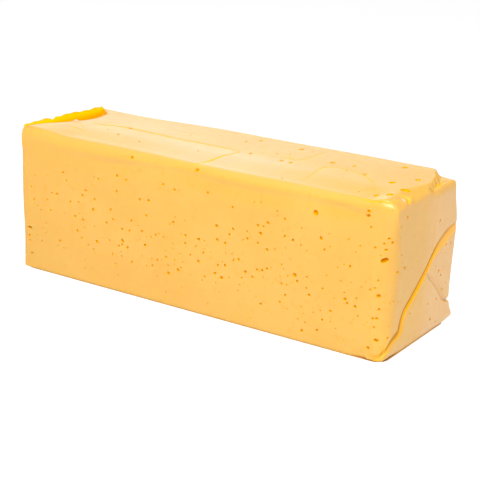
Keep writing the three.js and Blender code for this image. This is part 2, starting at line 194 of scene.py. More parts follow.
# Faint creases that the film left: depth, then places along each
topWrinkles = [
    (0.2, (70.5, -34), (69, -18), (68.5, -2), (79, 1), (91.5, -1.5), (104, -12.5), (117, -27)),
    (0.18, (30, 1), (39, 0), (48, 1.5), (50, 20), (49.5, 38)), (0.16, (23, 13.5), (39.5, 4), (52, -6)),
    (0.16, (-72, 18), (-45, 15), (-20, 16)), (0.2, (-122, -20), (-105, -22), (-92, -26)),
    (0.18, (-112, 4), (-100, 7), (-88, 12)), (0.16, (100, -31), (110, -26), (119, -18)),
    (0.18, (-114, -8), (-107, -15), (-99, -20)), (0.14, (58, 30), (76, 22), (90, 24)),
]
frontGrooves = {
    "pinch": [(131.6, 15, 0.6, 0.7, 0.4), (132.2, 11, 0.8, 0.9, 1.3), (132, 4, 0.8, 0.8, 1)],
}


def rise(value, low, high):
    part = np.clip((value - low) / (high - low), 0, 1)
    return part * part * (3 - 2 * part)


def fall(value, low, high):
    return 1 - rise(value, low, high)


def hill(value, at, spread):
    return np.exp(-((value - at) / spread) ** 2)


def lerp(first, second, part):
    return first + (second - first) * part


# 1 along a stretch of the length, eased in from its start and out to its end
def stretch(x, span):
    return rise(x, span["from"], span["to"]) * fall(x, span["until"], span["gone"])


# Radii of the rounded block along each axis, at points of the sharp block
def edgeRadii(x, y, z):
    near = rise(x, -halfLength / 2, halfLength / 2)
    front = fall(y, -halfWidth / 2, halfWidth / 2)
    aboveFoot = rise(z, *loaf["footBlend"])
    upper = rise(z, *loaf["topBlend"])
    nearEnd = rise(x, *loaf["nearBlend"])
    side = lerp(loaf["farRadius"], lerp(loaf["nearBackRadius"], loaf["nearFrontRadius"], front), near)
    topSide = lerp(loaf["topBackRadius"], loaf["topFrontRadius"], front)
    topReach = lerp(loaf["topBackRadius"], loaf["topFrontReach"], front)
    foot = loaf["footRadius"]
    footCorner = lerp(foot, loaf["footCornerRadius"], nearEnd * fall(y, *loaf["footCorner"]))
    radiusX = lerp(footCorner, side, aboveFoot)
    radiusY = lerp(footCorner, lerp(lerp(side, topReach, 1 - nearEnd), topReach, upper), aboveFoot)
    radiusZ = lerp(foot, lerp(topSide, loaf["topNearRadius"], nearEnd * (1 - front)), upper)
    return np.stack([radiusX, radiusY, radiusZ], 1)


def roundedPoints(block):
    radii = edgeRadii(*block.T)
    centred = block - (0, 0, height / 2)
    half = np.array([halfLength, halfWidth, height / 2])
    inner = np.clip(centred, radii - half, half - radii)
    outward = (centred - inner) / radii
    outward /= np.linalg.norm(outward, axis=1)[:, None]
    return inner + outward * radii + (0, 0, height / 2), outward


def lipHeight(y):
    lip = farLip
    present = rise(y, lip["start"], lip["start"] + lip["fade"])
    present *= fall(y, lip["end"] - lip["fade"], lip["end"])
    tatters = sum(lip["tatter"] * np.sin(y * turns + i) for i, turns in enumerate(lip["tatterTurns"]))
    gap = lip["gapDepth"] * hill(y, lip["gapAt"], lip["gapWidth"])
    return present * (lip["height"] + tatters) - gap


# Part of the way across the trench from the lip at 0 to the top's sharp edge at 1
def acrossTrench(x, y):
    lip = farLip
    closing = (1 - lip["closed"] * rise(y, *lip["closing"])) * fall(y, *lip["lastClosing"])
    width = lip["trenchLeast"] + lip["trenchWidth"] * rise(y, *lip["widening"]) * closing
    return (x + halfLength - lip["thickness"]) / width, width


def trenchDepth(x, y):
    part, width = acrossTrench(x, y)
    depth = farLip["trenchDepth"] * rise(width, *farLip["fullDepthFrom"]) * fall(y, *farLip["backRim"])
    return depth * rise(part, *farLip["slope"]) * fall(part, 1, 1 + farLip["edgeWidth"] / width)


# How far a place on the top lies beyond the bowed and ragged line of the corner's step
def beyondStep(x, y):
    (startX, startY), (endX, endY) = nearCorner["stepStart"], nearCorner["stepEnd"]
    along = (startY - y) / (startY - endY)
    bow = nearCorner["stepBow"] * np.sin(math.pi * np.clip(along, 0, 1))
    ragged = sum(size * np.sin(y * turns + phase) for size, turns, phase in nearCorner["ragged"])
    return x - (lerp(startX, endX, along) + bow + ragged)


def bandFoot(x):
    band = loaf["edgeBand"]
    sag = band["sag"] * hill(x, *band["sagAt"])
    return band["foot"] + band["climb"] * rise(x, *band["climbing"]) - sag


# The loaf's main form at points of the sharp block, as the CAD solid has it
def mainForm(block):
    x, y, z = block.T
    points, outward = roundedPoints(block)
    waves = sum(np.sin(block @ np.array(turns) + phase) for turns, phase in loaf["waves"])
    middle = (1 - (x / halfLength) ** 2) * (1 - (2 * z / height - 1) ** 2)
    swell = loaf["waveHeight"] * waves + loaf["bulge"] * middle
    points = points + outward * (swell * rise(z, *loaf["flatFoot"]))[:, None]

    dip, sink, waist = loaf["dip"], loaf["sink"], loaf["waist"]
    relief = dip["depth"] * hill(x, dip["at"], dip["spread"]) * rise(y, dip["start"], dip["end"])
    relief += sink["depth"] * fall(y, sink["start"], sink["end"]) * stretch(x, sink) + trenchDepth(x, y)
    points[:, 2] -= relief * rise(z, *loaf["topBand"])
    below = bandFoot(x) - z
    hollow = waist["depth"] * rise(below, *waist["edge"]) * fall(below, *waist["fade"])
    hollow *= stretch(x, waist) * fall(y, -halfWidth, -halfWidth + waist["reach"])
    points[:, 1] += hollow
    swollen = loaf["farSwell"]
    outer = fall(x, -halfLength, -halfLength + swollen["width"])
    points[:, 0] -= swollen["reach"] * (outer * rise(z, swollen["foot"], swollen["full"]))

    corner = nearCorner
    slope = lerp(corner["stepWidth"], corner["stepBackWidth"], rise(y, *corner["stepWidening"]))
    step = rise(beyondStep(x, y) / slope, 0, 1) * rise(y, 0, 2 * corner["stepEnd"][1])
    points[:, 2] -= corner["stepDepth"] * step * rise(z, *corner["stepRise"])
    pulled = rise(x, corner["pinchStart"], halfLength) * rise(y, 0, halfWidth - loaf["nearBackRadius"])
    points[:, 1] -= corner["pinch"] * pulled * rise(z, *corner["pinchRise"])
    flared = corner["flare"] * pulled * rise(z, *corner["flareRise"])
    points[:, 1] += flared * fall(z, *corner["flareFall"])

    lip = farLip
    inLip = fall(x + halfLength, lip["thickness"] * lip["crestShare"], lip["thickness"])
    points[:, 2] += inLip * lipHeight(y) * rise(z, height - lip["root"], height - lip["full"])

    flapEnd = rise(x, halfLength - corner["flapThickness"], halfLength - corner["flapFull"])
    flapFoot = np.clip(1 - z / corner["flapHeight"], 0, 1) ** corner["flapCurve"]
    flap = flapEnd * flapFoot * rise(y, corner["flapRoot"], halfWidth)
    points[:, 1] += corner["flapReach"] * flap
    points[:, 2] += corner["flapLift"] * flap

    lean = loaf["endLean"] * (1 - z / height)
    points[:, 0] *= (halfLength - lean) / halfLength
    return points


# Stations joined by a smooth curve, with every column eased between them
def smoothPath(stations, steps=6):
    rows = np.array(stations, float)
    padded = np.vstack([2 * rows[0] - rows[1], rows, 2 * rows[-1] - rows[-2]])
    curve = []
    for i in range(1, len(padded) - 2):
        before, here, after, later = padded[i - 1:i + 3]
        for part in np.arange(steps) / steps:
            bend = 2 * before - 5 * here + 4 * after - later
            twist = 3 * here - before - 3 * after + later
            curve.append(here + 0.5 * part * (after - before + part * (bend + part * twist)))
    curve.append(rows[-1])
    return np.array(curve)


# Signed distance from a path, with the widths and depth of its nearest place
def nearPath(places, path):
    best = np.full(len(places), 1e9)
    signed = np.zeros(len(places))
    traits = np.zeros((len(places), path.shape[1] - 2))
    for start, end in zip(path[:-1], path[1:]):
        along = end[:2] - start[:2]
        length = np.linalg.norm(along)
        offset = places - start[:2]
        part = np.clip(offset @ along / length ** 2, 0, 1)
        gap = offset - part[:, None] * along
        distance = np.linalg.norm(gap, axis=1)
        nearer = distance < best
        side = np.sign(along[0] * gap[:, 1] - along[1] * gap[:, 0])
        best[nearer] = distance[nearer]
        signed[nearer] = (side * distance)[nearer]
        traits[nearer] = (start[2:] + part[:, None] * (end[2:] - start[2:]))[nearer]
    return signed, traits


grooveShape = {
    "rimWidth": 0.16,  # share of the left side on which the rim drops
    "leftCurve": 1.6,
    "rightCurve": 1.15,
    "wrinkleWidth": 0.9,
}


# Depth of a groove at places on its face: a shoulder on its left, a plain slope on its right
def grooveDepth(places, stations, rim=0):
    signed, traits = nearPath(places, smoothPath(stations))
    left = np.clip(1 + signed / traits[:, 0], 0, 1) * (signed < 0)
    right = np.clip(1 - signed / traits[:, 1], 0, 1) * (signed >= 0)
    shoulder = rim * rise(left, 0, grooveShape["rimWidth"]) + (1 - rim) * left ** grooveShape["leftCurve"]
    return traits[:, 2] * (shoulder + right ** grooveShape["rightCurve"])


def wrinkleDepth(places):
    depth = np.zeros(len(places))
    width = grooveShape["wrinkleWidth"]
    for deep, *line in topWrinkles:
        deepness = [0, *[deep] * (len(line) - 2), 0]
        path = [(x, y, width, width, here) for (x, y), here in zip(line, deepness)]
        depth = np.maximum(depth, grooveDepth(places, path))
    return depth


nearLayers = {
    "layerHeight": 0.55,  # of the folded layer between the two creases and the foot
    "layerFromFold": (0.5, 4.0),
    "layerToCrease": (-1.2, -0.3),
    "layerFoot": (1.0, 5.0),
    "foldRim": 0.2,  # share of the fold's depth that drops at once at its left side
    "crumbAt": (-118.3, -7.5),  # torn crumb on the edge of the far trench
    "crumbHeight": 1.4,
    "crumbSpread": 1.9,
    "ledgeHeight": 0.2,  # rolled ledge under the fold of the long front edge
    "ledgeAt": 90.2,
    "ledgeSpread": 1.4,
    "ledgeStart": (96.0, 112.0),
    "ledgeEnd": (130.0, 136.0),
    "hollowDepth": 0.6,  # soft hollow in the front below that ledge
    "hollowAt": 84.5,
    "hollowSpread": 2.6,
    "hollowStart": (84.0, 98.0),
    "hollowEnd": (112.0, 122.0),
}
crumb = (*nearLayers["crumbAt"], nearLayers["crumbSpread"])


def groovesDepth(places, grooves):
    depth = np.zeros(len(places))
    for name, stations in grooves.items():
        rim = nearLayers["foldRim"] if name == "fold" else 0
        depth = np.maximum(depth, grooveDepth(places, stations, rim))
    return depth


def nearSpot(x, y, atX, atY, spread):
    return hill(np.hypot(x - atX, y - atY), 0, spread)


# How far points belong to a face: 0 from the first distance under it, 1 up to the second one
def onNearEnd(x, gone=12, full=6):
    return rise(x, halfLength - gone, halfLength - full)


def onTop(z, gone=9, full=6):
    return rise(z, height - gone, height - full)


def onFront(y, gone=6, full=2):
    return fall(y, full - halfWidth, gone - halfWidth)


# How much each face is pressed in at points of the main form
def pressedIn(points):
    layers = nearLayers
    x, y, z = points.T

    places = points[:, [1, 2]]
    foldSide = nearPath(places, smoothPath(nearGrooves["fold"]))[0]
    creaseSide = nearPath(places, smoothPath(nearGrooves["side"]))[0]
    layer = rise(foldSide, *layers["layerFromFold"]) * fall(creaseSide, *layers["layerToCrease"])
    layer *= rise(z, *layers["layerFoot"])
    nearDepth = groovesDepth(places, nearGrooves) - layers["layerHeight"] * layer

    places = points[:, [0, 1]]
    raised = grooveDepth(places, curlRoll) + layers["crumbHeight"] * nearSpot(x, y, *crumb)
    topDepth = np.maximum(groovesDepth(places, topGrooves), wrinkleDepth(places)) - raised

    places = points[:, [0, 2]]
    ledge = hill(z, layers["ledgeAt"], layers["ledgeSpread"])
    ledge *= layers["ledgeHeight"] * rise(x, *layers["ledgeStart"]) * fall(x, *layers["ledgeEnd"])
    hollow = hill(z, layers["hollowAt"], layers["hollowSpread"])
    hollow *= layers["hollowDepth"] * rise(x, *layers["hollowStart"]) * fall(x, *layers["hollowEnd"])
    frontDepth = groovesDepth(places, frontGrooves) - ledge + hollow
    return nearDepth * onNearEnd(x, full=5), topDepth * onTop(z, full=5), frontDepth * onFront(y)


def surface(block):
    points = mainForm(block)
    near, top, front = pressedIn(points)
    points[:, 0] -= near
    points[:, 1] += front
    points[:, 2] -= top
    return points


skin = {
    "quad": 3.2,  # on the plain faces
    "edgeQuad": 1.6,
    "formQuad": 0.8,
    "foldQuad": 0.45,
    "edgeBand": 13.0,
    "footBand": 4.0,
    "nearBand": 10.0,
    "topBand": 9.0,
    "frontBand": 8.0,
    "trenchBand": 1.4,
    "stepBand": 2.5,
    "grooveMargin": 1.0,
    "wrinkleMargin": 1.5,
    # Parts of the sharp block with finer quads: their size, then lowest and highest x, y and z
    "zones": [
        ("formQuad", (112, math.inf), (0, math.inf), (height - 14, math.inf)),
        ("formQuad", (118, math.inf), (28, math.inf), (-math.inf, 20)),
        ("formQuad", (98, math.inf), (-math.inf, -14), (height - 14, math.inf)),
        ("formQuad", (-math.inf, 24 - halfLength), (-math.inf, math.inf), (height - 6, math.inf)),
        ("foldQuad", (-math.inf, 3 - halfLength), (-math.inf, math.inf), (height - 12, math.inf)),
    ],
    "levels": 3,
    "splitOver": 1.45,  # a quad is halved when it is this much longer than wanted
    "sharpAngle": 48.0,
}


# The quad size that each place of the sharp block's surface needs
def wantedQuad(block):
    x, y, z = block.T
    size = np.full(len(block), skin["quad"])
    gaps = np.sort(np.stack([halfLength - abs(x), halfWidth - abs(y), np.minimum(z, height - z)], 1), 1)
    band = np.where(z < height / 3, skin["footBand"], skin["edgeBand"])
    size[gaps[:, 1] < band] = skin["edgeQuad"]
    nearEnd = x > halfLength - skin["nearBand"]
    size[nearEnd] = skin["edgeQuad"]
    across, width = acrossTrench(x, y)

    def refine(where, quad):
        size[where] = np.minimum(size[where], skin[quad])

    for quad, *spans in skin["zones"]:
        inZone = [(low < place) & (place < high) for place, (low, high) in zip((x, y, z), spans)]
        refine(np.all(inZone, axis=0), quad)
    byTrench = (abs(across - 1) * width < skin["trenchBand"]) & (width > 1.5 * farLip["trenchLeast"])
    refine(byTrench & (z > height - 3), "foldQuad")
    refine((abs(beyondStep(x, y)) < skin["stepBand"]) & (y > 0) & (z > height - 6), "foldQuad")
    rolls = {**topGrooves, "roll": curlRoll}
    for where, axes, grooves in (
        (nearEnd, [1, 2], nearGrooves),
        (z > height - skin["topBand"], [0, 1], rolls),
        (y < skin["frontBand"] - halfWidth, [0, 2], frontGrooves),
    ):
        for stations in grooves.values():
            signed, traits = nearPath(block[:, axes], smoothPath(stations))
            left, right = -traits[:, 0] - skin["grooveMargin"], traits[:, 1] + skin["grooveMargin"]
            refine(where & (signed > left) & (signed < right), "foldQuad")
    for _, *line in topWrinkles:
        signed, _ = nearPath(block[:, [0, 1]], smoothPath([(*spot, 0) for spot in line]))
        refine((z > height - 1) & (abs(signed) < skin["wrinkleMargin"]), "formQuad")
    return size


# Net of the sharp block, with its quads halved again and again where the forms are finer
def makeNet():
    counts = [round(side / skin["quad"]) for side in (loaf["length"], loaf["width"], height)]
    lines = [
        np.linspace(-halfLength, halfLength, counts[0] + 1),
        np.linspace(-halfWidth, halfWidth, counts[1] + 1),
        np.linspace(0, height, counts[2] + 1),
    ]
    net = bmesh.new()
    corners = {}

    def corner(key):
        if key not in corners:
            corners[key] = net.verts.new([lines[axis][key[axis]] for axis in range(3)])
        return corners[key]

    for axis in range(3):
        across, upward = (axis + 1) % 3, (axis + 2) % 3
        for level in (0, counts[axis]):
            for i in range(counts[across]):
                for j in range(counts[upward]):
                    ring = []
                    for di, dj in ((0, 0), (1, 0), (1, 1), (0, 1)):
                        key = [0, 0, 0]
                        key[axis], key[across], key[upward] = level, i + di, j + dj
                        ring.append(corner(tuple(key)))
                    net.faces.new(ring if level else ring[::-1])
    for _ in range(skin["levels"]):
        faces = list(net.faces)
        middles = np.array([face.calc_center_median() for face in faces])
        longest = np.array([max(edge.calc_length() for edge in face.edges) for face in faces])
        coarse = longest > skin["splitOver"] * wantedQuad(middles)
        edges = {edge for face, split in zip(faces, coarse) if split for edge in face.edges}
        bmesh.ops.subdivide_edges(net, edges=list(edges), cuts=1, use_grid_fill=True)
    bmesh.ops.triangulate(net, faces=[face for face in net.faces if len(face.verts) > 4])
    return net


pits = {
    "seed": 27,
    "spacing": 2.6,
    "depth": 1.15,  # of half the width
    "topScale": 1.25,
    "topRatio": 1.3,
    "topTone": 0.45,  # how far the painted tone in those of the top turns to orange
    "topToneRise": 6.0,
    # Bubbles at the places of the real loaf's: place on the face, width, ratio, turn in degrees
    "front": [
        (-100, 70, 1.9, 0.9, 0), (-84, 58, 1.8, 0.9, 0), (-12, 75, 2, 0.9, 0), (12, 78, 2, 0.9, 0),
        (30, 72, 1.9, 0.9, 0), (-56, 76, 2.2, 0.9, 0), (66, 72, 1.9, 0.9, 0),
        (131.2, 60, 4.9, 0.68, 25), (85.6, 80.4, 3.6, 0.9, -50), (90.4, 65.5, 2.5, 0.8, -60),
        (74.6, 39.8, 2.9, 0.9, -40), (-51.2, 34.6, 3.4, 0.6, -50), (-72, 29.8, 2.9, 0.75, -30),
        (-47.3, 30.9, 2.2, 0.85, 0), (-129.1, 27.9, 4.2, 0.45, 0), (118.1, 85.7, 2.9, 0.65, 10),
        (24.2, 26.9, 2.4, 0.9, 0), (-7.9, 24.9, 2.3, 0.9, 0), (52.4, 37.7, 2, 0.9, 0),
        (99.6, 23.6, 2, 0.9, 0), (48, 64.5, 2, 0.9, 0), (54.8, 67.4, 2.3, 0.9, -30),
        (-33.5, 35.5, 2.2, 0.9, 0), (-32.9, 54.7, 1.9, 1, 0), (-128.1, 10.4, 2.4, 0.6, 0),
        (129.2, 39, 2.6, 0.9, 0), (130, 13, 3, 0.6, -15), (125.5, 7.5, 2.4, 0.9, 0),
        (134.6, 73, 1.9, 0.9, 0), (130, 69.8, 1.5, 1, 0), (124.2, 67, 1.7, 0.9, 0),
        (131.8, 66.2, 1.9, 1, 0), (127.8, 48.2, 1.3, 1, 0), (123.5, 42.2, 1.6, 0.9, 0),
        (126.2, 43.5, 1.4, 1, 0), (118.2, 88.5, 2.4, 0.8, 0),
        (-17.1, 31.2, 1.8, 0.9, 0), (3, 92.6, 2.8, 0.9, 0), (-45, 91.6, 2.6, 0.8, 0),
        (-38, 64, 2.1, 0.9, 0), (-36, 44, 2, 0.9, 0), (-61, 53, 2, 0.9, 0), (-59, 47, 1.9, 0.9, 0),
        (-71, 71, 1.9, 0.9, 0), (-90, 43, 2, 0.9, 0), (-103, 24, 2, 0.9, 0), (-3, 48, 1.9, 0.9, 0),
        (-3, 43, 1.9, 0.9, 0), (20, 50, 2.2, 0.9, 0), (41, 55, 2.1, 0.9, 0), (50, 60, 2.4, 0.9, 0),
        (110, 53, 2, 0.9, 0), (115, 30, 2.1, 0.9, 0), (85, 30, 2, 0.9, 0), (-24, 28, 1.9, 0.9, 0),
    ],
    "top": [
        (104.4, 29, 2.9, 0.8, 0), (122.4, 9.6, 2.9, 0.85, 0), (113.3, -5.6, 3.2, 0.7, 0),
        (93.5, -1.5, 1.9, 0.9, 0), (79.9, 10.8, 2, 0.9, 0), (66.2, 9.3, 2.6, 0.7, 0),
        (34.5, 26.6, 2.7, 0.8, 0), (40.3, -7, 2, 0.9, 0), (29.4, 5.7, 1.8, 0.9, 0),
        (2.8, 29.4, 2, 0.9, 0), (16.4, -4, 1.8, 0.8, 0), (116.4, -30.8, 2.6, 0.7, 0),
        (123, -27.8, 3.4, 0.6, 20), (126.2, -14.4, 4, 0.45, -50), (-74, -19, 1.6, 1, 0),
    ],
    "near": [
        (-27, 82.7, 2.6, 0.8, -60), (17.7, 70.2, 3, 0.55, 60), (-24.3, 52.3, 2.4, 0.9, 0),
        (-33.6, 78.9, 1.8, 1, 0), (35.2, 52.2, 1.6, 1, 0), (-30.5, 61.8, 1.5, 1, 0),
        (-40, 70.5, 1.8, 1, 0), (22.4, 20.3, 1.8, 1, 0),
        (11.9, 20.2, 1.6, 1, 0), (17.3, 9, 2, 1, 0), (26.2, 4.5, 1.5, 1, 0), (26.4, 34, 1.6, 1, 0),
    ],
    # Small ones scattered over a face: how many, reach to each side, lowest and highest place
    "scatter": {
        "front": (240, 131, 5, 82), "back": (150, 131, 5, 82), "top": (16, 122, -36, 38),
        "near": (26, 38, 6, 84), "far": (24, 38, 6, 84),
    },
    "widths": (1.0, 2.4),
    "widthCurve": 2.2,  # the higher, the fewer wide ones
    "heightCurve": (1.6, 2.1),
    "ratios": (0.7, 1.0),
    "wideFrom": 2.2,
    "wideNet": (18, 9),  # corners round a wide one and rings from its bottom to its top
    "smallNet": (11, 7),
}

# Each face's own two coordinates as a point of the sharp block
faces = {
    "front": lambda a, b: (a, -halfWidth, b),
    "back": lambda a, b: (-a, halfWidth, b),
    "top": lambda a, b: (a, b, height),
    "near": lambda a, b: (halfLength, a, b),
    "far": lambda a, b: (-halfLength, -a, b),
}


def pitPlaces():
    random = np.random.default_rng(pits["seed"])
    low, high = pits["widths"]
    places = [(name, *pit) for name in ("front", "top", "near") for pit in pits[name]]
    for name, (count, reach, bottom, top) in pits["scatter"].items():
        for _ in range(count):
            a = random.uniform(-reach, reach)
            part = random.random() if name == "top" else random.beta(*pits["heightCurve"])
            b = lerp(bottom, top, part)
            width = lerp(low, high, random.random() ** pits["widthCurve"])
            ratio, turn = random.uniform(*pits["ratios"]), random.uniform(0, 180)
            apart = [math.hypot(a - pit[1], b - pit[2]) for pit in places if pit[0] == name]
            if min(apart, default=math.inf) > pits["spacing"]:
                places.append((name, a, b, width, ratio, turn))
    return places


# Frames of all pits: centres, and axes scaled to the pit's half sizes, the last one outward
def pitFrames():
    places = pitPlaces()
    reach = 0.4
    blocks = np.array([
        [faces[name](a + da, b + db) for da, db in ((0, 0), (reach, 0), (0, reach))]
        for name, a, b, *_ in places
    ])
    spots = surface(blocks.reshape(-1, 3)).reshape(-1, 3, 3)
    frames = []
    for (name, _, _, width, ratio, turn), (spot, sideways, upward) in zip(places, spots):
        outward = np.cross(sideways - spot, upward - spot)
        outward /= np.linalg.norm(outward)
        across = (sideways - spot) / np.linalg.norm(sideways - spot)
        along = np.cross(outward, across)
        angle = math.radians(turn)
        if name == "top":
            width, ratio = width * pits["topScale"], pits["topRatio"]
        first = across * math.cos(angle) + along * math.sin(angle)
        second = np.cross(outward, first)
        half = width / 2
        frames.append((spot, first * half, second * half * ratio, outward * half * pits["depth"]))
    return frames


# One closed mesh of all the pits' rounded cutters
def pitCutters(frames):
    verts, polygons = [], []
    for spot, first, second, outward in frames:
        wide = 2 * np.linalg.norm(first) > pits["wideFrom"]
        around, rings = pits["wideNet"] if wide else pits["smallNet"]
        start = len(verts)
        verts.append(spot - outward)
        for ring in range(1, rings):
            tilt = math.pi * ring / rings
            for step in range(around):
                turn = 2 * math.pi * step / around
                flat = math.cos(turn) * first + math.sin(turn) * second
                verts.append(spot + math.sin(tilt) * flat - math.cos(tilt) * outward)
        verts.append(spot + outward)
        last = len(verts) - 1
        for step in range(around):
            after = (step + 1) % around
            polygons.append((start, start + 1 + after, start + 1 + step))
            for ring in range(rings - 2):
                here = start + 1 + ring * around
                above = here + around
                polygons.append((here + step, here + after, above + after, above + step))
            top = last - around
            polygons.append((top + step, top + after, last))
    mesh = bpy.data.meshes.new("pitCutters")
    mesh.from_pydata([tuple(vert) for vert in verts], [], polygons)
    return mesh


def fillMesh(mesh, positions):
    mesh.vertices.foreach_set("co", np.ascontiguousarray(positions, np.float32).ravel())
    mesh.update()


def meshPoints(mesh):
    points = np.empty(len(mesh.vertices) * 3, np.float32)
    mesh.vertices.foreach_get("co", points)
    return points.reshape(-1, 3).astype(float)


def cutMesh(mesh, cutters):
    loafObject = bpy.data.objects.new("uncutLoaf", mesh)
    cutterObject = bpy.data.objects.new("pitCutters", cutters)
    for item in (loafObject, cutterObject):
        bpy.context.scene.collection.objects.link(item)
    cut = loafObject.modifiers.new("pits", "BOOLEAN")
    cut.operation = "DIFFERENCE"
    cut.solver = "MANIFOLD"
    cut.object = cutterObject
    graph = bpy.context.evaluated_depsgraph_get()
    result = bpy.data.meshes.new_from_object(loafObject.evaluated_get(graph))
    for item in (loafObject, cutterObject):
        bpy.data.objects.remove(item)
    return result


# How deep each point lies in a pit: 0 outside and on the rim, 1 at the bottom
def pitMask(points, frames):
    mask = np.zeros(len(points))
    for spot, first, second, outward in frames:
        near = np.flatnonzero(np.abs(points - spot).max(1) < 1.3 * np.linalg.norm(first) + 0.2)
        axes = np.array([first, second, outward])
        local = (points[near] - spot) @ (axes / (axes ** 2).sum(1)[:, None]).T
        inside = (local ** 2).sum(1) < 1.1
        mask[near] = np.maximum(mask[near], np.where(inside, np.clip(-local[:, 2], 0, 1), 0))
    return mask


foldLightAndShadeTones = {
    # Painted tone along the fold's right side for its shade and the light scattered inside the cheese; it
    # ends towards the back and is weaker at the front
    "lineAt": (0.85, 0.46),
    "lineEnd": (18.0, 32.0),
    "lineWeaker": 0.62,
    "weakerUntil": (-24.0, -12.0),
    # Painted light on the lit slope beside it
    "slope": (0.22, 0.42),
    "slopeGrows": (10.0, 24.0),
    "slopeEdge": (-0.5, 0.5),
    "slopeFull": 0.6,
    "fullDepth": 1.1,  # depth at which a groove of the top has its full tone
    "faint": 0.6,
    "faintDepth": 0.12,
    "pinch": 0.7,
    # Painted shade and scattered light inside the lip and the trench, out to the trench's border
    "border": (-0.1, 0.6),
    "frontEnd": (-41.0, -38.0),
    "backEnd": (40.5, 42.5),
    "crest": 0.62,
    "crestUntil": (-0.09, 0.02),
    # Painted yellow on the roll at the near top front corner, in place of its sheen
    "roll": 0.22,
    "rollAt": (128.0, 89.0),
    "rollSpread": 5.0,
    "rollEnd": (-38.0, -35.0),
}


# Painted light and shade: how far each point lies in a fold or behind the lip, where a deeper yellow
# without sheen stands in for the shade there and the light scattered inside the cheese
def foldLightAndShadeMask(points):
    tones = foldLightAndShadeTones
    x, y, z = points.T
    signed, traits = nearPath(points[:, [1, 2]], smoothPath(nearGrooves["fold"]))
    line = hill(signed, *tones["lineAt"]) * fall(y, *tones["lineEnd"])
    line *= lerp(1, tones["lineWeaker"], fall(y, *tones["weakerUntil"]))
    slope = lerp(*tones["slope"], rise(y, *tones["slopeGrows"])) * rise(signed, *tones["slopeEdge"])
    slope *= fall(signed, tones["slopeFull"] * traits[:, 1], traits[:, 1])
    near = onNearEnd(x) * np.maximum(line, slope)

    places = points[:, [0, 1]]
    lines = {name: topGrooves[name] for name in ("seam", "cross")}
    faint = np.maximum(groovesDepth(places, lines), wrinkleDepth(places))
    faintTone = tones["faint"] * rise(faint, 0, tones["faintDepth"])
    top = np.where(faint > 0, faintTone, groovesDepth(places, topGrooves) / tones["fullDepth"]) * onTop(z)
    front = tones["pinch"] * (onFront(y) * groovesDepth(points[:, [0, 2]], frontGrooves))

    across, width = acrossTrench(x, y)
    lip = fall((across - 1) * width, *tones["border"]) * onTop(z, 6, 2.5) * rise(y, *tones["frontEnd"])
    lip *= fall(y, *tones["backEnd"]) * (1 - nearSpot(x, y, *crumb))
    lip *= lerp(tones["crest"], 1, rise(across, *tones["crestUntil"]))
    roll = tones["roll"] * nearSpot(x, z, *tones["rollAt"], tones["rollSpread"])
    roll *= fall(y, *tones["rollEnd"])
    return np.clip(np.max([near, top, front, lip, roll], axis=0), 0, 1)


# Painted shade in the trench and in the near end's fold
deepShadeTones = {
    "floor": (0.0, 0.5),
    "border": (0.98, 1.04),
    "end": 0.45,
    "endUntil": (8.0, 20.0),
    "endBelow": (66.0, 70.0),
}


# Painted shade: where the painted fold tone turns to orange, on the trench's floor towards its border and
# along the near end's fold below its upper part
def deepShadeMask(points):
    tones = deepShadeTones
    x, y, z = points.T
    across, _ = acrossTrench(x, y)
    inTrench = rise(across, *tones["floor"]) * fall(across, *tones["border"]) * onTop(z, 8, 5)
    onEnd = (x > halfLength - 12) * fall(y, *tones["endUntil"]) * fall(z, *tones["endBelow"])
    return inTrench + tones["end"] * onEnd


shadeTones = {
    "left": (-1.0, -0.8),  # as shares of the fold's left side
    "right": (0.0, 0.6),
    "weaker": 0.62,
    "weakerFrom": (14.0, 24.0),
}


# The floor of the fold under its overhanging side
def shadeMask(points):
    tones = shadeTones
    x, y, _ = points.T
    signed, traits = nearPath(points[:, [1, 2]], smoothPath(nearGrooves["fold"]))
    inFold = rise(signed / traits[:, 0], *tones["left"]) * fall(signed, *tones["right"])
    inFold *= np.clip(traits[:, 2], 0, 1)
    return inFold * lerp(1, tones["weaker"], rise(y, *tones["weakerFrom"])) * onNearEnd(x)


# Painted light on the band along the long front edge
edgeLightTones = {
    "strength": 0.85,
    "foot": (-1.0, 2.0),
    "way": (0.366, 0.96),  # along Y and Z, out of the band's upper border
    "upperBorder": (75.2, 77.0),
    "front": (-36.0, -34.0),
    "nearEnd": (98.0, 118.0),
}


# Painted light: a lighter tone on the bright band along the long front edge, where its rounding catches
# more light
def edgeLightMask(points):
    tones = edgeLightTones
    x, y, z = points.T
    alongY, alongZ = tones["way"]
    upward = fall(alongY * y + alongZ * z, *tones["upperBorder"])
    band = rise(z - bandFoot(x), *tones["foot"]) * upward
    return tones["strength"] * band * fall(y, *tones["front"]) * fall(x, *tones["nearEnd"])


crumbAndSheenTones = {
    "crumb": 0.8,
    # Painted highlight in the curl
    "glint": 0.95,
    "glintAt": (131.2, -27.2, 1.0),
    # Painted sheen on the front part of the top
    "paintedSheen": 0.3,
    "paintedSheenAt": (5.0, 62.0),
    "paintedSheenFront": (-40.0, -36.0),
    "paintedSheenBack": (-16.0, 2.0),
    # Painted sheen on the back part of the near end
    "end": 0.16,
    "endSheenFrom": (-4.0, 16.0),
    "endSheenTop": (84.0, 89.0),
}


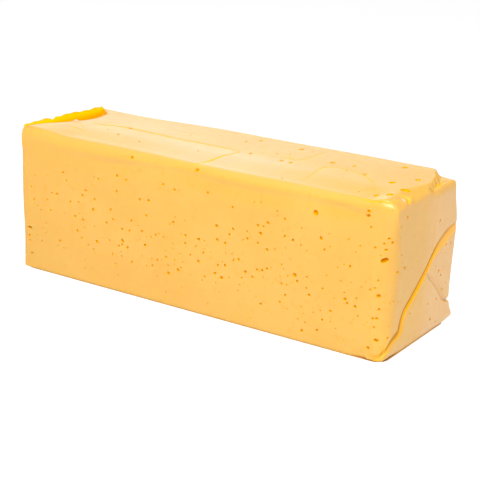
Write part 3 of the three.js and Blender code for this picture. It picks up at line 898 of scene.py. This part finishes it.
# Paler crumb at the trench, with a painted highlight in the curl and painted sheen on the front part of
# the top and the back part of the near end
def crumbAndSheenMask(points):
    tones = crumbAndSheenTones
    x, y, z = points.T
    spots = tones["crumb"] * nearSpot(x, y, *crumb) + tones["glint"] * nearSpot(x, y, *tones["glintAt"])
    paintedSheen = tones["paintedSheen"] * hill(x, *tones["paintedSheenAt"]) * fall(y, *tones["paintedSheenBack"])
    paintedSheen *= rise(y, *tones["paintedSheenFront"])
    onEnd = tones["end"] * onNearEnd(x) * rise(y, *tones["endSheenFrom"]) * fall(z, *tones["endSheenTop"])
    return np.clip(spots + paintedSheen, 0, 1) * onTop(z, 8, 5) + onEnd


def addMask(mesh, name, values):
    mask = mesh.attributes.new(name, "FLOAT", "POINT")
    mask.data.foreach_set("value", np.ascontiguousarray(values, np.float32))


def makeLoaf():
    net = makeNet()
    mesh = bpy.data.meshes.new("plainLoaf")
    net.to_mesh(mesh)
    net.free()
    fillMesh(mesh, surface(meshPoints(mesh)))
    print("loaf form:", len(mesh.polygons), "faces")
    frames = pitFrames()
    mesh = cutMesh(mesh, pitCutters(frames))
    mesh.name = "cheeseLoaf"
    points = meshPoints(mesh)
    addMask(mesh, "pit", pitMask(points, frames))
    # Pits of the top get the painted fold tone of shade and scattered light, turned orange
    topFrames = [item for item in frames if item[3][2] > 0.8 * np.linalg.norm(item[3])]
    topPits = np.minimum(pits["topToneRise"] * pitMask(points, topFrames), 1)
    addMask(mesh, "fold", np.maximum(foldLightAndShadeMask(points), topPits))
    addMask(mesh, "pale", crumbAndSheenMask(points))
    addMask(mesh, "deep", deepShadeMask(points) + pits["topTone"] * topPits)
    addMask(mesh, "shade", shadeMask(points))
    addMask(mesh, "band", edgeLightMask(points))
    corner, opposite = np.array(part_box("cheese_loaf"))
    middle = (points.min(0) + points.max(0)) / 2 * mm
    shift = (corner + opposite) / 2 - middle
    shift[2] = 0
    fillMesh(mesh, points * mm + shift)
    mesh.shade_smooth()
    mesh.set_sharp_from_angle(angle=math.radians(skin["sharpAngle"]))
    mesh.calc_loop_triangles()
    print("loaf with", len(frames), "pits:", len(mesh.loop_triangles), "triangles")
    return mesh, shift


# A node's output, on which Python's operators build Math nodes
class Signal:
    def __init__(self, shader, socket):
        self.shader = shader
        self.socket = socket

    def math(self, operation, *values):
        return self.shader.node("ShaderNodeMath", {"operation": operation}, dict(enumerate(values)))

    def __add__(self, other):
        return self.math("ADD", self, other)

    def __sub__(self, other):
        return self.math("SUBTRACT", self, other)

    def __rsub__(self, other):
        return self.math("SUBTRACT", other, self)

    def __mul__(self, other):
        return self.math("MULTIPLY", self, other)

    def __pow__(self, other):
        return self.math("POWER", self, other)

    def __abs__(self):
        return self.math("ABSOLUTE", self)

    def larger(self, other):
        return self.math("MAXIMUM", self, other)

    # 0 below the first value, 1 above the second one, eased between them
    def between(self, low, high):
        inputs = {"Value": self, "From Min": low, "From Max": high}
        return self.shader.node("ShaderNodeMapRange", {"interpolation_type": "SMOOTHSTEP"}, inputs)

    __radd__ = __add__
    __rmul__ = __mul__


class Shader:
    def __init__(self, owner):
        owner.use_nodes = True
        self.tree = owner.node_tree
        self.tree.nodes.clear()

    # Any node, with its settings first, then values or links on its inputs; gives one output
    def node(self, kind, settings=None, inputs=None, output=0):
        node = self.tree.nodes.new(kind)
        for name, value in (settings or {}).items():
            setattr(node, name, value)
        for key, value in (inputs or {}).items():
            if isinstance(value, Signal):
                self.tree.links.new(value.socket, node.inputs[key])
            else:
                node.inputs[key].default_value = value
        if not node.outputs:
            return node
        return Signal(self, node.outputs[output])

    def mixColour(self, part, first, second):
        colours = [c if isinstance(c, Signal) else (*c, 1) for c in (first, second)]
        inputs = {0: part, 6: colours[0], 7: colours[1]}
        return self.node("ShaderNodeMix", {"data_type": "RGBA"}, inputs, 2)

    def noise(self, place, scale, detail, roughness=0.5):
        inputs = {"Vector": place, "Scale": scale, "Detail": detail, "Roughness": roughness}
        return self.node("ShaderNodeTexNoise", None, inputs)

    def mask(self, name):
        return self.node("ShaderNodeAttribute", {"attribute_name": name}, None, "Fac")


cheese = {
    "body": (0.66, 0.36, 0.055),
    "paler": (0.675, 0.375, 0.066),
    "deeper": (0.655, 0.345, 0.046),
    # Painted tones of pits, folds and their deepest parts, for their shade and for light scattered inside
    # the cheese
    "paintedPitTone": (0.74, 0.34, 0.001),
    "paintedFoldTone": (0.92, 0.42, 0.001),
    "paintedDeepShade": (0.86, 0.24, 0.0),
    "inShade": (0.6, 0.28, 0.035),
    # Painted light on the band along the long front edge
    "paintedEdgeLight": (0.70, 0.385, 0.075),
    "through": (0.15, 0.05, 0.0),  # painted glow of the folds, an emission standing in for light scattered into them inside the cheese
    # Paler crumb, painted highlight and painted sheen
    "torn": (0.86, 0.59, 0.49),
    "specks": (0.70, 0.33, 0.02),
    # Noises: scale per metre and detail, and the values between which each one sets in
    "clouds": (22, 4),
    "clouded": (0.4, 0.66),
    "mottle": (170, 3, 0.6),
    "mottled": (0.52, 0.75),
    "speckScale": 230,
    "specked": (0.17, 0.09),
    "speckClouds": (0.42, 0.56),
    "foldSetsIn": (0.08, 0.8),
    "pitSetsIn": (0.02, 0.4),
    "foldInPit": (0, 0.3),
    "insideRoughness": 0.8,
    "roughness": 0.36,
    "roughnessRange": 0.12,
    "index": 1.5,
    "glow": 0.5,  # share of light that spreads under the surface
    "glowReach": 0.004,
    "glowColours": (1.0, 0.5, 0.15),
    "unevenness": 0.00035,
    "bumpStrength": 0.6,
    "swells": (60, 3),
    "grain": (900, 2),
    "mottleHeight": 0.25,
    "grainHeight": 0.05,
}


def cheeseMaterial():
    material = bpy.data.materials.new("cheese")
    shader = Shader(material)
    place = shader.node("ShaderNodeTexCoord", None, None, "Object")
    clouds = shader.noise(place, *cheese["clouds"])
    mottle = shader.noise(place, *cheese["mottle"])
    grain = shader.noise(place, *cheese["grain"])
    colour = shader.mixColour(clouds.between(*cheese["clouded"]), cheese["body"], cheese["paler"])
    colour = shader.mixColour(mottle.between(*cheese["mottled"]), colour, cheese["deeper"])
    inputs = {"Vector": place, "Scale": cheese["speckScale"]}
    cells = shader.node("ShaderNodeTexVoronoi", {"feature": "F1"}, inputs)
    specks = cells.between(*cheese["specked"]) * clouds.between(*cheese["speckClouds"])
    colour = shader.mixColour(specks, colour, cheese["specks"])
    # Painted light: a lighter tone on the band along the long front edge
    colour = shader.mixColour(shader.mask("band"), colour, cheese["paintedEdgeLight"])
    # Paler crumb, painted highlight and painted sheen
    colour = shader.mixColour(shader.mask("pale"), colour, cheese["torn"])
    # Painted shade and scattered light: folds, pits and the fold's shaded floor get deeper tones without
    # sheen, and folds get a painted glow
    fold = shader.mask("fold").between(*cheese["foldSetsIn"])
    pit = shader.mask("pit").between(*cheese["pitSetsIn"])
    folds = shader.mixColour(shader.mask("deep"), cheese["paintedFoldTone"], cheese["paintedDeepShade"])
    inside = shader.mixColour(fold.between(*cheese["foldInPit"]), cheese["paintedPitTone"], folds)
    shade = shader.mask("shade")
    inside = shader.mixColour(shade * (1 - fold), inside, cheese["inShade"])
    through = shader.mixColour(fold.between(*cheese["foldInPit"]), (0, 0, 0), cheese["through"])
    roughness = cheese["roughness"] + cheese["roughnessRange"] * (mottle - 0.5)
    swells = shader.noise(place, *cheese["swells"])
    heights = swells + cheese["mottleHeight"] * mottle + cheese["grainHeight"] * grain
    bump = {"Height": heights, "Strength": cheese["bumpStrength"], "Distance": cheese["unevenness"]}
    normal = shader.node("ShaderNodeBump", None, bump)
    surfaceShader = shader.node("ShaderNodeBsdfPrincipled", {"subsurface_method": "RANDOM_WALK"}, {
        "Base Color": colour,
        "Roughness": roughness,
        "Normal": normal,
        "IOR": cheese["index"],
        "Subsurface Weight": cheese["glow"],
        "Subsurface Scale": cheese["glowReach"],
        "Subsurface Radius": cheese["glowColours"],
    })
    # Pits and folds show no sheen, only painted tones: a deeper colour and a glow standing in for their
    # shade and for light scattered inside the cheese
    insideShader = shader.node("ShaderNodeBsdfPrincipled", None, {
        "Base Color": inside,
        "Roughness": cheese["insideRoughness"],
        "Specular IOR Level": 0.0,
        "Emission Color": through,
        "Emission Strength": 1.0,
    })
    pressed = fold.larger(pit).larger(shade)
    both = shader.node("ShaderNodeMixShader", None, {0: pressed, 1: surfaceShader, 2: insideShader})
    shader.node("ShaderNodeOutputMaterial", None, {"Surface": both})
    return material


studio = {
    "floorSize": 12.0,
    "floorColour": (0.3, 0.3, 0.3),
    "floorGlow": 0.82,
    "contact": (0.62, 0.36, 0.16),  # painted contact shadow: the thin dark line under the loaf's foot
    "contactReach": 0.0007,
    "contactCorner": 8.0,
    "world": 0.3,
    # White surroundings: way to the middle, cosines from it where they fade in and are full, light
    "lobes": [((-0.76, 0.65, 0.05), 0.73, 1.0, 2.25), ((1, 0.05, 0.3), 0.0, 0.9, 0.54)],
    "keyStrength": 17.9,
    "keyWay": (0.25, -0.58, 0.77),
    "keyDistance": 1.1,
    "keySize": 0.8,
}


def makeFloor(shift):
    material = bpy.data.materials.new("studioFloor")
    shader = Shader(material)
    place = shader.node("ShaderNodeTexCoord", None, None, "Object")
    # Distance from the loaf's foot, which has round corners
    corner = studio["contactCorner"]
    spread = 0
    for axis, half in enumerate((halfLength - loaf["endLean"], halfWidth)):
        along = shader.node("ShaderNodeSeparateXYZ", None, {0: place}, axis)
        beyond = (abs(along - shift[axis]) - (half - corner) * mm).larger(0)
        spread = beyond * beyond + spread
    # Painted contact shadow: right round the loaf's foot the floor turns dark and stops glowing
    inContactShadow = (spread ** 0.5 - corner * mm).between(studio["contactReach"], 0)
    colour = shader.mixColour(inContactShadow, studio["floorColour"], studio["contact"])
    plain = shader.node("ShaderNodeBsdfDiffuse", None, {"Color": colour})
    glow = shader.node("ShaderNodeEmission", None, {"Strength": studio["floorGlow"] * (1 - inContactShadow)})
    both = shader.node("ShaderNodeAddShader", None, {0: plain, 1: glow})
    shader.node("ShaderNodeOutputMaterial", None, {"Surface": both})
    half = studio["floorSize"] / 2
    mesh = bpy.data.meshes.new("studioFloor")
    corners = [(-half, -half, 0), (half, -half, 0), (half, half, 0), (-half, half, 0)]
    mesh.from_pydata(corners, [], [(0, 1, 2, 3)])
    mesh.materials.append(material)
    floor = bpy.data.objects.new("studioFloor", mesh)
    bpy.context.scene.collection.objects.link(floor)


def makeWorld():
    world = bpy.data.worlds.new("studio")
    bpy.context.scene.world = world
    shader = Shader(world)
    way = shader.node("ShaderNodeTexCoord", None, None, "Generated")
    strength = studio["world"]
    for toMiddle, start, full, light in studio["lobes"]:
        inputs = {0: way, 1: Vector(toMiddle).normalized()}
        facing = shader.node("ShaderNodeVectorMath", {"operation": "DOT_PRODUCT"}, inputs, "Value")
        strength = light * facing.between(start, full) + strength
    light = shader.node("ShaderNodeBackground", None, {"Strength": strength})
    shader.node("ShaderNodeOutputWorld", None, {"Surface": light})


def makeKey():
    lamp = bpy.data.lights.new("keyLight", "AREA")
    lamp.shape = "DISK"
    lamp.size = studio["keySize"]
    lamp.energy = studio["keyStrength"]
    key = bpy.data.objects.new("keyLight", lamp)
    way = Vector(studio["keyWay"]).normalized()
    key.location = way * studio["keyDistance"] + Vector((0, 0, height * mm / 2))
    key.rotation_euler = way.to_track_quat("Z", "Y").to_euler()
    bpy.context.scene.collection.objects.link(key)


view = {
    "place": (420.37, -649.36, 284.01),
    "right": (0.8372, 0.5455, 0.0388),
    "up": (-0.1982, 0.2365, 0.9512),
    "back": (0.5097, -0.8041, 0.3061),
    "lens": 96.42,
    "sensor": 36.0,
    "nearest": 0.01,
}


def makeCamera(shift):
    lens = bpy.data.cameras.new("camera")
    lens.lens = view["lens"]
    lens.sensor_width = view["sensor"]
    lens.clip_start = view["nearest"]
    camera = bpy.data.objects.new("camera", lens)
    axes = Matrix([view["right"], view["up"], view["back"]]).transposed()
    place = Vector(view["place"]) * mm + Vector(shift)
    camera.matrix_world = Matrix.Translation(place) @ axes.to_4x4()
    bpy.context.scene.collection.objects.link(camera)
    bpy.context.scene.camera = camera


mesh, shift = makeLoaf()
mesh.materials.clear()
mesh.materials.append(cheeseMaterial())
loafObject = bpy.data.objects.new("cheeseLoaf", mesh)
bpy.context.scene.collection.objects.link(loafObject)
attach(loafObject, "root")
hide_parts("cheese_loaf")
print("loaf dressed")

makeFloor(shift)
makeWorld()
makeKey()
makeCamera(shift)
bpy.context.scene.view_settings.view_transform = "Standard"
print("studio and camera set")
